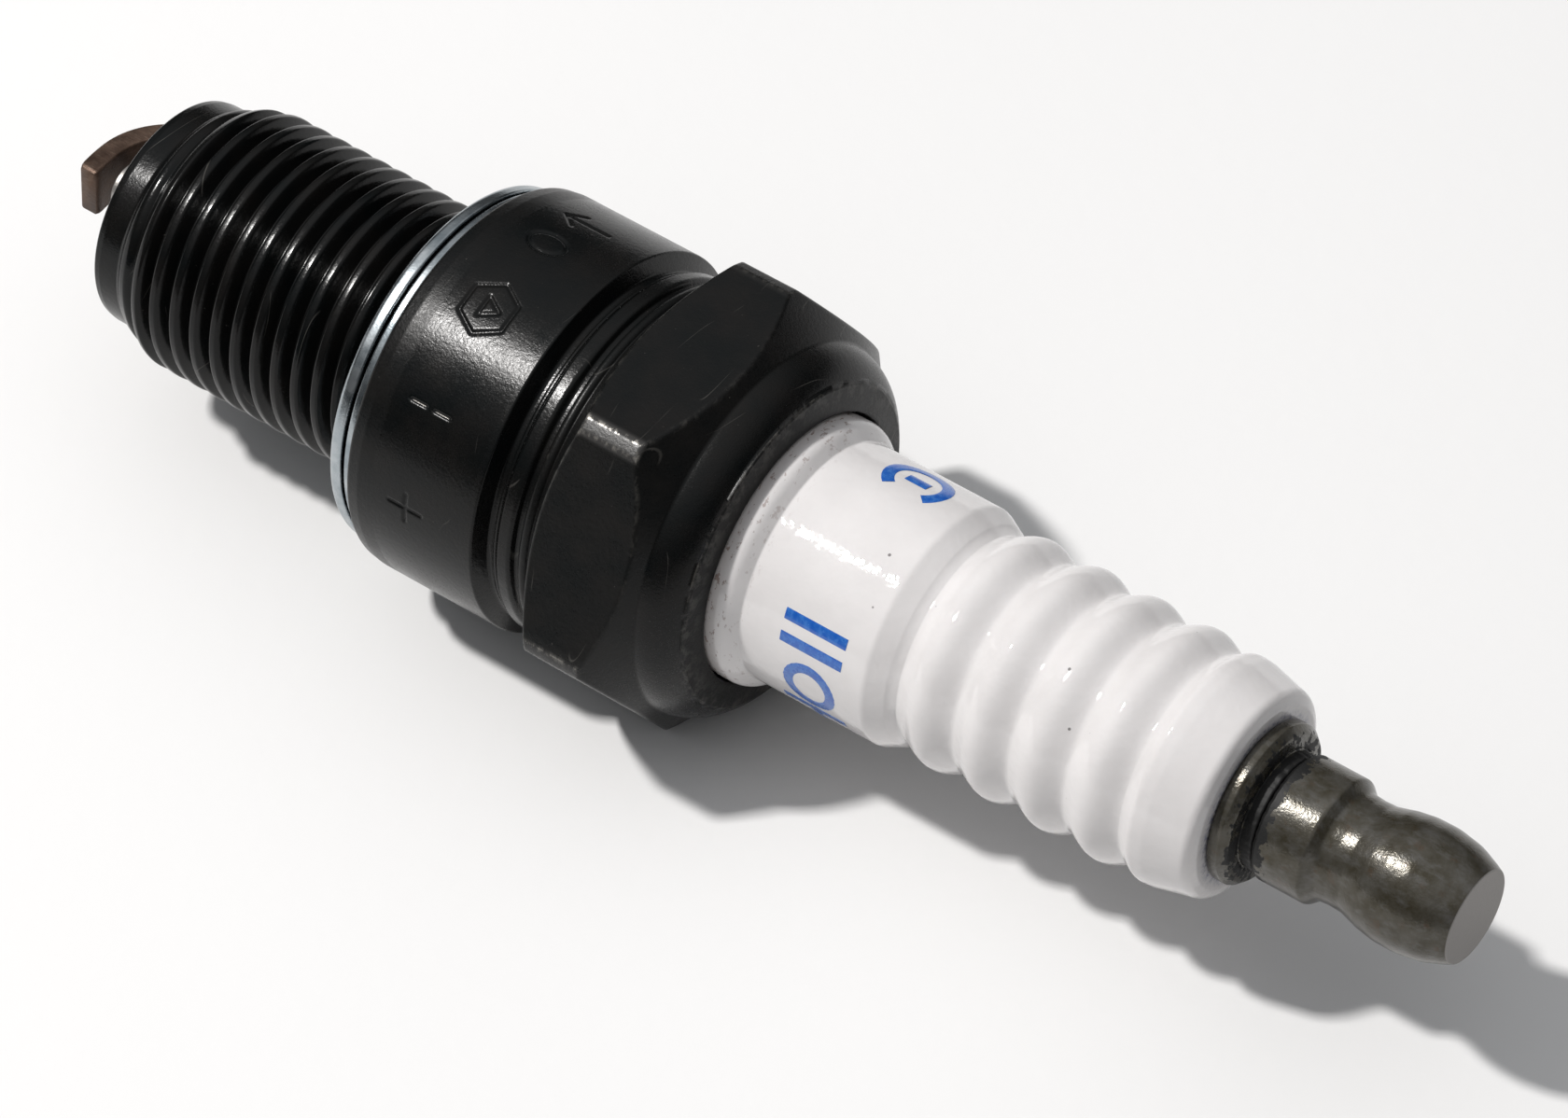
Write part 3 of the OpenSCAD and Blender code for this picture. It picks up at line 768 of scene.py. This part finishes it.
def make_insulator():
    skin = Skin(even_columns(256))
    outline = rounded([
        (TIP_X, TIP_BORE_R, 0), (TIP_X, 2.5, 0.3), (-7.5, 3.3, 0.8), (-6.5, SEAT_R, 0.3),
        (-5.1, SEAT_R, 0.2), (-3.9, BODY_R, 0.3), (3.8, BODY_R, 0.3), (5.5, SHOULDER_R, 0.4),
        (12.1, SHOULDER_R, 0.4), (13.2, FOOT_R + 0.03, 0.3), (LIP_X + 0.75, FOOT_R, 0.9),
        (LIP_X + 1.4, BARREL_R + 0.02, 0.15), (LIP_X + 2.4, BARREL_R, 1.5),
        (28.95, BARREL_R, 0.6), (FIRST_VALLEY_X - 0.5, 5.72, 0.5),
        (FIRST_VALLEY_X - 0.05, VALLEY_R, 0)], step=7)
    outline += rib_outline()
    last = FIRST_VALLEY_X + RIBS * RIB_PITCH
    outline += rounded([
        (last + 0.08, VALLEY_R, 0), (last + 0.8, 5.84, 0.6), (last + 1.5, 5.78, 1.5),
        (TOP_X - 0.25, 5.28, 0.6), (TOP_X, 4.7, 0.3), (TOP_X, STUD_BORE_R, 0.1),
        (BORE_STEP_X, STUD_BORE_R, 0.05), (BORE_STEP_X, TIP_BORE_R, 0.05),
        (TIP_X + 0.05, TIP_BORE_R, 0)], step=7)
    uneven = 0.02 * rough_line(skin.theta, 0.9, 5.5)
    x, r = skin.spread(outline)
    skin.rows(x, r + uneven * smooth(21.0, 22.5, x) * (r > 5))
    obj = skin.build("ribbed_insulator", closed=True)
    give(obj, glaze(), "plug", ["insulator"])


PRINT_WIDTH = 0.62
PRINT_LIFT = 0.025
PRINT_HALF_HEIGHT = 1.75


def print_mark(name, strokes, x, angle):
    """Blue ink strokes that stand a little proud of the barrel, with edges that sink into it.
    A stroke is a list of (around, along) points, measured from the place at x and angle."""
    work = bmesh.new()
    for stroke in strokes:
        rows = []
        for i, point in enumerate(stroke):
            before = Vector(stroke[max(i - 1, 0)])
            after = Vector(stroke[min(i + 1, len(stroke) - 1)])
            side = (after - before).orthogonal().normalized() * PRINT_WIDTH / 2
            row = []
            for k in range(7):
                across = Vector(point) + side * (k / 3 - 1)
                turn = math.radians(angle) + across.x / BARREL_R
                height = BARREL_R + PRINT_LIFT * (1 if 0 < k < 6 else 0.2)
                place = (x + across.y, height * math.cos(turn), height * math.sin(turn))
                row.append(work.verts.new(Vector(place) * MM))
            rows.append(row)
        for low, high in zip(rows, rows[1:]):
            for k in range(6):
                work.faces.new((low[k], low[k + 1], high[k + 1], high[k]))
    for face in work.faces:
        middle = face.calc_center_median()
        if face.normal.dot(Vector((0, middle.y, middle.z))) < 0:
            face.normal_flip()
    mesh = bpy.data.meshes.new(name)
    work.to_mesh(mesh)
    work.free()
    mesh.shade_smooth()
    return add_object(name, mesh)


def arc_stroke(u, v, radius, start, stop, steps=26):
    angles = [math.radians(start + (stop - start) * i / steps) for i in range(steps + 1)]
    return [(u + radius * math.cos(a), v + radius * math.sin(a)) for a in angles]


def bar_stroke(u):
    return along((u, -PRINT_HALF_HEIGHT), (u, PRINT_HALF_HEIGHT), 12)


def make_print():
    ink = print_ink()
    bars = [bar_stroke(-1.1), bar_stroke(0.1), arc_stroke(2.5, 0, 1.2, 0, 360)]
    arc = [arc_stroke(0, 0, 1.45, 40, 320), along((0, -0.6), (0, 0.6), 12)]
    tee = [bar_stroke(-0.6), along((-0.3, 0), (1.2, 0), 12)]
    for name, strokes, x, angle in (
            ("printed_bars", bars, 25.95, 159),
            ("printed_arc", arc, 25.85, 62),
            ("printed_tee", tee, 25.95, 205)):
        give(print_mark(name, strokes, x, angle), ink, "plug")


# ---------------------------------------------------------------- terminal

STUD_PITCH = 0.7
STUD_CREST_R = 1.95
STUD_ROOT_R = 1.56
STUD_BEAD_R = 2.95
NUT_BORE_R = 2.03


def make_stud():
    """The stud: a flange on the ceramic, a bead under the nut, and an M4 thread inside the nut."""
    skin = Skin(even_columns(160))
    bead = STUD_BEAD_R
    x0, x1 = NUT_X + 0.25, STUD_X - 0.35
    end_r = STUD_ROOT_R - 0.1
    base = TOP_X + 0.03
    skin.outline(rounded([
        (STUD_FOOT_X, 0, 0), (STUD_FOOT_X, 1.55, 0.2), (STUD_FOOT_X + 3.1, 1.57, 0.05),
        (STUD_FOOT_X + 3.2, 1.9, 0.05), (base, 1.9, 0.02), (base, FLANGE_R - 0.1, 0.06),
        (base + 0.12, FLANGE_R, 0.08), (base + 0.62, FLANGE_R, 0.12),
        (base + 0.98, FLANGE_R - 0.33, 0.2), (base + 1.05, FLANGE_R - 0.95, 0.25),
        (base + 0.99, bead, 0.1), (NUT_X - 0.12, bead + 0.06, 0.12),
        (NUT_X - 0.02, bead - 0.15, 0.05), (NUT_X - 0.02, 1.5, 0.04), (x0 - 0.05, end_r, 0)]))
    phases = [0, 0.1, 0.22, 0.34, 0.44, 0.5, 0.56, 0.66, 0.78, 0.9]

    def root(x):
        return end_r + 0.1 * smooth(x0, x0 + 0.2, x) * smooth(x1, x1 - 0.2, x)

    def depth(x):
        height = STUD_CREST_R - STUD_ROOT_R
        return height * smooth(x0, x0 + 0.5, x) * smooth(x1, x1 - 0.5, x)

    x, r = helix_rows(skin.theta, x0, x1, STUD_PITCH, phases, depth, root, thread_profile)
    skin.rows(x, r, shift=len(phases))
    skin.outline(rounded([
        (x1 + 0.05, end_r, 0), (STUD_X, STUD_ROOT_R - 0.25, 0.1), (STUD_X, 0, 0)]))
    # The bead's edge at the nut is ragged
    ragged = 0.08 * rough_line(skin.theta, 14, 6.3) - 0.04
    for k, (x, r) in enumerate(zip(skin.x, skin.r)):
        if NUT_X - 0.5 < x[0] < NUT_X and r[0] > bead - 0.2:
            skin.r[k] = r + ragged
    material = olive_steel("dark_olive_stud", base + 0.96, NUT_X + 0.6)
    obj = skin.build("flanged_stud", closed=False)
    give(obj, material, "plug", ["terminal_stud"])


def make_nut():
    """The terminal nut: a cylinder, a neck for the cap's spring, and a bulb with a flat end."""
    skin = Skin(even_columns(200))
    x, r = skin.spread(rounded([
        (NUT_X, NUT_BORE_R + 0.5, 0), (NUT_X, NUT_R - 0.16, 0.08), (NUT_X + 0.18, NUT_R, 0.1),
        (51.05, NUT_R, 0.28), (51.55, 2.72, 0.45), (52.2, 2.67, 0.6), (52.9, 2.70, 0.8),
        (53.9, 2.98, 0.9), (54.8, 3.13, 1.8), (55.9, 3.15, 2.4), (57.2, 2.95, 2.6),
        (NUT_END_X - 0.35, 2.55, 0.35), (NUT_END_X, 2.38, 0.12), (NUT_END_X, 0, 0)], step=6))
    ragged = 0.05 * rough_line(skin.theta, 7, 2.4)
    x = x + np.abs(ragged) * smooth(NUT_X + 0.6, NUT_X, x) * (r > 2.9)
    skin.rows(x[::-1], r[::-1])
    skin.outline([(NUT_X + 0.05, NUT_BORE_R + 0.45), (NUT_X + 0.4, NUT_BORE_R),
                  (NUT_X + 0.5, NUT_BORE_R)]
                 + along((NUT_X + 0.8, NUT_BORE_R), (NUT_X + 6.3, NUT_BORE_R), 8)
                 + [(NUT_X + 6.45, NUT_BORE_R - 0.05), (NUT_X + 7.1, 0)])
    material = olive_steel("dark_olive_nut", NUT_X - 1, NUT_X + 0.55, NUT_END_X)
    obj = skin.build("bulbed_nut", closed=False)
    give(obj, material, "terminal_nut", ["terminal_nut"])


# ---------------------------------------------------------------- electrodes

STRAP_TURN = 81
STRAP_WIDTH = 2.75
STRAP_THICK = 1.1
STRAP_BEND_R = 3.1
STRAP_LEAN = 22
STRAP_BEND_Z = -0.49
STRAP_TIP_Z = 1.5
STRAP_DROOP = 0.18
STRAP_SINK = 0.12
STRAP_EDGE_R = 0.13
ELECTRODE_R = 1.25
ELECTRODE_HEAD_R = 1.9


def strap_place(x, out, across):
    """A point given along the axis, towards the strap's tip, and across the strap."""
    t = math.radians(STRAP_TURN)
    y = -math.sin(t) * out + math.cos(t) * across
    z = math.cos(t) * out + math.sin(t) * across
    return Vector((x, y, z)) * MM


def strap_section(middle, normal, half_width, half_thick, corner):
    """A ring of points round the strap: a rectangle with rounded corners."""
    ring = []
    for cw, ct, start in ((1, 1, 0), (-1, 1, 90), (-1, -1, 180), (1, -1, 270)):
        for k in range(5):
            a = math.radians(start + 90 * k / 4)
            across = cw * (half_width - corner) + corner * math.cos(a)
            thick = ct * (half_thick - corner) + corner * math.sin(a)
            x, out = (m + n * thick for m, n in zip(middle, normal))
            ring.append(strap_place(x, out, across))
    return ring


def make_strap():
    """A strip that stands on the nose, leans inwards and bends across the centre electrode.
    Its path is (x, out, normal x, normal out) at each ring."""
    bend_x = STRAP_X + STRAP_THICK + STRAP_BEND_R
    mid_r = STRAP_BEND_R + STRAP_THICK / 2
    lean = math.radians(STRAP_LEAN)
    start = (bend_x - mid_r * math.sin(lean), STRAP_BEND_Z - mid_r * math.cos(lean))
    foot_x = NOSE_X + STRAP_SINK
    foot = (foot_x, start[1] - (foot_x - start[0]) * math.tan(lean))
    path = [(*place, -math.sin(lean), -math.cos(lean)) for place in along(foot, start, 8)]
    for k in range(1, 17):
        a = math.radians(90 - STRAP_LEAN) * (1 - k / 16)
        nx, nz = -math.cos(a), -math.sin(a)
        path.append((bend_x + mid_r * nx, STRAP_BEND_Z + mid_r * nz, nx, nz))
    for k in range(1, 11):
        share = k / 10
        out = STRAP_BEND_Z + (STRAP_TIP_Z - 0.02 - STRAP_BEND_Z) * share
        path.append((STRAP_X + STRAP_THICK / 2 + STRAP_DROOP * share ** 2, out, -1, 0))
    # The last two rings are pinched, which rounds the edges of the tip
    pinches = [0.0] * (len(path) - 2) + [0.02, 0.08]
    work = bmesh.new()
    rings = []
    for (x, out, nx, nz), pinch in zip(path, pinches):
        half_width, half_thick = STRAP_WIDTH / 2 - pinch, STRAP_THICK / 2 - pinch
        section = strap_section((x, out), (nx, nz), half_width, half_thick, STRAP_EDGE_R)
        rings.append([work.verts.new(p) for p in section])
    size = len(rings[0])
    for low, high in zip(rings, rings[1:]):
        for k in range(size):
            after = (k + 1) % size
            work.faces.new((low[k], low[after], high[after], high[k]))
    work.faces.new(rings[0])
    work.faces.new(rings[-1])
    mesh = bpy.data.meshes.new("ground_strap")
    work.to_mesh(mesh)
    work.free()
    strap = mesh_object("ground_strap", mesh)
    give(strap, heat_tinted_nickel(), "plug", ["ground_electrode"])


def make_centre_electrode():
    skin = Skin(even_columns(72))
    r, head_r = ELECTRODE_R, ELECTRODE_HEAD_R
    skin.outline(rounded([
        (ELECTRODE_X, 0, 0), (ELECTRODE_X, r, 0.08), (-2.6, r, 0.05), (-2.4, head_r, 0.1),
        (HEAD_X, head_r, 0.1), (HEAD_X, 0, 0)]))
    material = plain("fired_nickel", (0.30, 0.28, 0.26), (0.46, 0.44, 0.42), 0.9, 0.4, 0.09, 0.012)
    obj = skin.build("electrode_pin", closed=False)
    give(obj, material, "plug", ["centre_electrode"])


# ---------------------------------------------------------------- pieces inside


def finish_hidden_nodes():
    """The pieces that the shell and insulator hide keep their CAD shapes."""
    steel = plain("plain_steel", (0.36, 0.36, 0.35), (0.52, 0.52, 0.50), 0.9, 0.4, 0.12, 0.01)
    finishes = {
        "copper_core": plain(
            "bare_copper", (0.48, 0.21, 0.11), (0.68, 0.34, 0.20), 1.0, 0.34, 0.12, 0.01),
        "glass_seal": plain(
            "conductive_glass", (0.05, 0.045, 0.04), (0.16, 0.14, 0.12), 0.1, 0.35, 0.1, 0.02),
        "talc_filling": plain(
            "pressed_talc", (0.62, 0.60, 0.54), (0.78, 0.76, 0.70), 0.0, 0.85, 0.15, 0.03),
        "seat_washer": steel,
        "lower_packing_ring": steel,
        "upper_packing_ring": steel,
    }
    for node, material in finishes.items():
        give(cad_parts[node], material)


# ---------------------------------------------------------------- studio

VIEW_TARGET = Vector((17.042, 3.153, -6.355)) * MM
VIEW_DISTANCE = 367.854 * MM
VIEW_AZIMUTH = 40.97
VIEW_ELEVATION = 50.39
VIEW_ROLL = 5.25
LENS = 177.01
SENSOR_WIDTH = 36
LIGHT_TARGET = Vector((18, 0, 0)) * MM
KEY_AZIMUTH = -58
KEY_ELEVATION = 60
KEY_SIZE = 44
KEY_DISTANCE = 700
KEY_WATTS = 4.8
FLOOR_HALF = 2000
FLOOR_GAP = 0.02


def direction(azimuth, elevation):
    """Towards an azimuth, counted from -Y to +X, and an elevation."""
    a, e = math.radians(azimuth), math.radians(elevation)
    return Vector((math.sin(a) * math.cos(e), -math.cos(a) * math.cos(e), math.sin(e)))


def make_camera():
    back = direction(VIEW_AZIMUTH, VIEW_ELEVATION)
    level = direction(VIEW_AZIMUTH + 90, 0)
    right = Matrix.Rotation(math.radians(VIEW_ROLL), 3, -back) @ level
    up = back.cross(right)
    camera = add_object("camera", bpy.data.cameras.new("camera"))
    camera.data.lens = LENS
    camera.data.sensor_width = SENSOR_WIDTH
    camera.data.clip_start = 10 * MM
    pose = Matrix((right, up, back)).transposed().to_4x4()
    pose.translation = VIEW_TARGET + back * VIEW_DISTANCE
    camera.matrix_world = pose
    bpy.context.scene.camera = camera


def make_key_light():
    lamp = bpy.data.lights.new("key_light", "AREA")
    lamp.shape = "RECTANGLE"
    lamp.size = lamp.size_y = KEY_SIZE * MM
    lamp.energy = KEY_WATTS
    lamp.color = (1.0, 0.98, 0.96)
    obj = add_object("key_light", lamp)
    towards = direction(KEY_AZIMUTH, KEY_ELEVATION)
    obj.location = LIGHT_TARGET + towards * KEY_DISTANCE * MM
    obj.rotation_euler = towards.to_track_quat("Z", "Y").to_euler()


def make_sky():
    """A sky that is bright above and dim at the horizon, like a large overhead softbox."""
    world = bpy.data.worlds.new("studio")
    bpy.context.scene.world = world
    world.use_nodes = True
    nodes, links = world.node_tree.nodes, world.node_tree.links
    place = nodes.new("ShaderNodeTexCoord")
    split = nodes.new("ShaderNodeSeparateXYZ")
    rise = nodes.new("ShaderNodeMapRange")
    rise.interpolation_type = "SMOOTHSTEP"
    links.new(place.outputs["Generated"], split.inputs["Vector"])
    links.new(split.outputs["Z"], rise.inputs["Value"])
    for name, value in (("From Min", 0.25), ("From Max", 1.0), ("To Min", 0.04), ("To Max", 0.7)):
        rise.inputs[name].default_value = value
    links.new(rise.outputs["Result"], nodes["Background"].inputs["Strength"])
    nodes["Background"].inputs["Color"].default_value = (0.97, 0.98, 1.0, 1)
    bpy.context.scene.view_settings.view_transform = "Standard"


def make_floor():
    half = FLOOR_HALF * MM
    z = cad_bounds[0][2] - FLOOR_GAP * MM
    mesh = bpy.data.meshes.new("floor")
    corners = [(-half, -half, z), (half, -half, z), (half, half, z), (-half, half, z)]
    mesh.from_pydata(corners, [], [(0, 1, 2, 3)])
    floor = add_object("floor", mesh)
    f = Finish("pale_floor", specular=0.2)
    cloud = f.noise(60, 3)
    f.set("Base Color", f.mix(cloud, (0.75, 0.75, 0.75), (0.78, 0.78, 0.78)))
    f.set("Roughness", 0.8)
    f.bump(f.noise(1.5, 3), 0.02)
    mesh.materials.append(f.material)


make_shell()
make_gasket()
make_insulator()
make_print()
make_stud()
make_nut()
make_strap()
make_centre_electrode()
finish_hidden_nodes()
make_camera()
make_key_light()
make_sky()
make_floor()

bpy.context.view_layer.update()
